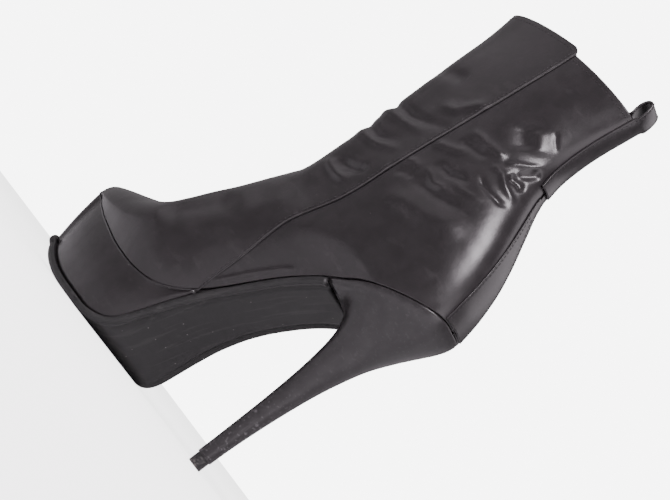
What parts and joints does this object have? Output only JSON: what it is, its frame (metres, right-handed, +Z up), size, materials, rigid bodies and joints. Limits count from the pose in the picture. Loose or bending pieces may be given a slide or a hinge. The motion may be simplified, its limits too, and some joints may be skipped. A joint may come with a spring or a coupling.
{
  "type": "leather ankle boot",
  "caption": "Left ankle boot in smooth black leather, with a covered platform, a slim high covered heel, side seams and a pull loop at the back of the shaft.",
  "frame": {"origin": "on the floor, on the flat tread under the ball of the foot", "axes": "+X toward the toe, +Y toward the wearer's left, which is the outer side, +Z up"},
  "size_m": [0.237, 0.0855, 0.308],
  "materials": {
    "upper_leather": "smooth satin",
    "heel_leather": "smooth satin",
    "outsole": "matte",
    "heel_tip": "worn matte",
    "lining": "matte"
  },
  "bodies": {
    "root": {"outsole": "outsole", "platform": "upper_leather", "heel": "heel_leather", "heel_tip": "heel_tip", "insole": "lining", "upper": "upper_leather", "back_stay": "upper_leather", "back_strip": "upper_leather"}
  },
  "joints": []
}
